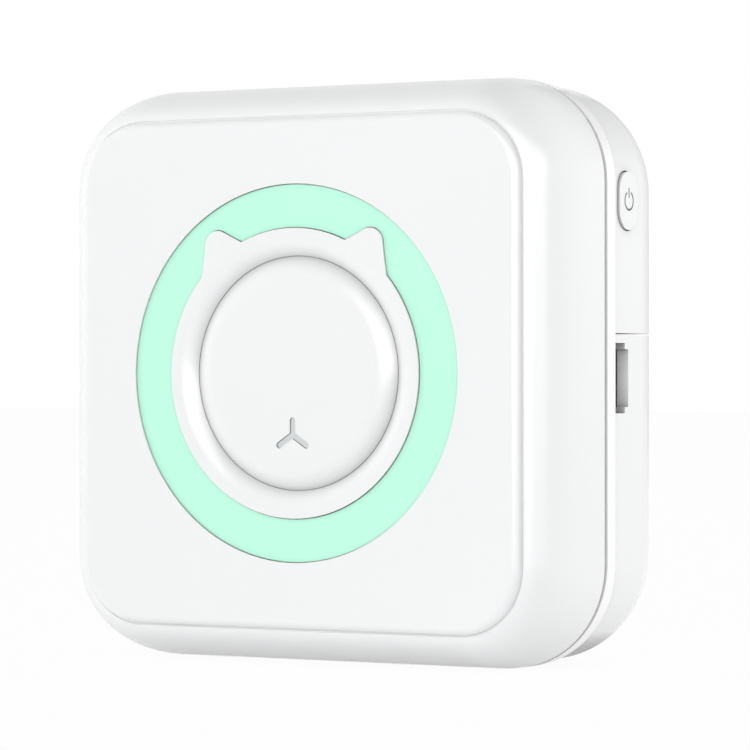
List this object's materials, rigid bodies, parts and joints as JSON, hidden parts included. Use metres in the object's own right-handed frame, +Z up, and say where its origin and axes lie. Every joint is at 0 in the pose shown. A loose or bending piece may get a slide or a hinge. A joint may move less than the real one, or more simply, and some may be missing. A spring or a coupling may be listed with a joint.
{
  "type": "pocket printer",
  "caption": "Square pocket thermal printer with rounded edges, a mint ring let into the face, a bright band, a side power button and a hinged paper door at the back.",
  "frame": {"origin": "middle of the footprint, at the lowest point", "axes": "-Y is the face, +Y the back, +X the side with the button and the port, +Z up"},
  "size_m": [0.085, 0.037, 0.085],
  "materials": {
    "shell_white": "fine satin, faintly cool white",
    "cap_white": "fine satin",
    "mark_grey": "printed mark",
    "band_white": "smooth gloss",
    "mint": "smooth satin gloss",
    "light_guide": "frosted clear, seen as pale grey",
    "steel": "bright ground",
    "screw_steel": "zinc plated",
    "motor_steel": "drawn can",
    "bush_plastic": "natural acetal",
    "roller_rubber": "ground matte",
    "gear_plastic": "natural acetal",
    "brass": "turned",
    "frame_plastic": "moulded black",
    "aluminium": "extruded",
    "head_ceramic": "glazed strip",
    "bin_plastic": "moulded light grey",
    "paper": "smooth thermal paper",
    "core_plastic": "extruded",
    "board_green": "solder mask",
    "led_white": "moulded",
    "chip_black": "moulded epoxy",
    "connector_cream": "moulded",
    "battery_foil": "soft foil pouch",
    "foam_black": "foam tape",
    "lead_red": "insulated wire",
    "lead_white": "insulated wire",
    "flex_amber": "polyimide film"
  },
  "bodies": {
    "case": {"front_cover": "shell_white", "accent_ring": "mint", "face_dome": "cap_white", "status_light_guide": "light_guide", "middle_frame": "band_white", "rear_cover": "shell_white", "hinge_pins": "steel", "gear_axle": "steel", "gear_clip": "steel", "stepper_motor": "motor_steel", "motor_screws": "screw_steel", "print_frame": "frame_plastic", "head_pivot_pin": "steel", "head_springs": "steel", "tear_bar": "steel", "paper_bin": "bin_plastic", "switch_body": "frame_plastic", "main_board": "board_green", "usb_receptacle": "steel", "status_led": "led_white", "board_chips": "chip_black", "board_connectors": "connector_cream", "battery_cell": "battery_foil", "battery_tape": "foam_black", "battery_leads": "lead_red", "motor_leads": "lead_white", "head_flex": "flex_amber", "paper_sensor": "chip_black", "cover_screws": "screw_steel", "rear_cover_screws": "screw_steel", "bin_screws": "screw_steel", "print_frame_screws": "screw_steel", "board_screws": "screw_steel"},
    "door": {"paper_door": "shell_white", "platen_bushes": "bush_plastic"},
    "platen": {"platen_shaft": "steel", "platen_roller": "roller_rubber", "platen_gear": "gear_plastic"},
    "idler": {"idler_gear": "gear_plastic"},
    "rotor": {"motor_shaft": "steel", "motor_pinion": "brass"},
    "head": {"print_head": "head_ceramic", "head_heat_sink": "aluminium"},
    "button": {"power_button": "shell_white", "button_mark": "mark_grey", "switch_plunger": "frame_plastic"},
    "roll": {"paper_roll": "paper", "roll_core": "core_plastic"}
  },
  "joints": [
    {"name": "door_hinge", "type": "hinge", "parent": "case", "child": "door", "pos_m": [0, 0.0159, 0.04537], "axis": [1, 0, 0], "range_deg": [0, 88]},
    {"name": "platen_spin", "type": "hinge", "parent": "door", "child": "platen", "pos_m": [0, 0.0055, 0.011], "axis": [1, 0, 0], "continuous": true},
    {"name": "idler_spin", "type": "hinge", "parent": "case", "child": "idler", "pos_m": [0.034, -0.00168, 0.01317], "axis": [1, 0, 0], "continuous": true},
    {"name": "motor_spin", "type": "hinge", "parent": "case", "child": "rotor", "pos_m": [0.034, -0.0086, 0.01055], "axis": [1, 0, 0], "continuous": true},
    {"name": "head_tilt", "type": "hinge", "parent": "case", "child": "head", "pos_m": [0, -0.0006, 0.0159], "axis": [1, 0, 0], "range_deg": [-1.5, 0], "stiffness_Nm_per_rad": 0.04, "springref_deg": 0.57},
    {"name": "button_press", "type": "slide", "parent": "case", "child": "button", "axis": [-1, 0, 0], "range_m": [0, 0.0004], "stiffness_N_per_m": 800},
    {"name": "roll_spin", "type": "hinge", "parent": "case", "child": "roll", "pos_m": [0, 0.0009, 0.034], "axis": [1, 0, 0], "continuous": true}
  ],
  "couplings": [
    {"joint": "idler_spin", "follows": "platen_spin", "ratio": -1.5},
    {"joint": "motor_spin", "follows": "platen_spin", "ratio": 4.6667}
  ]
}
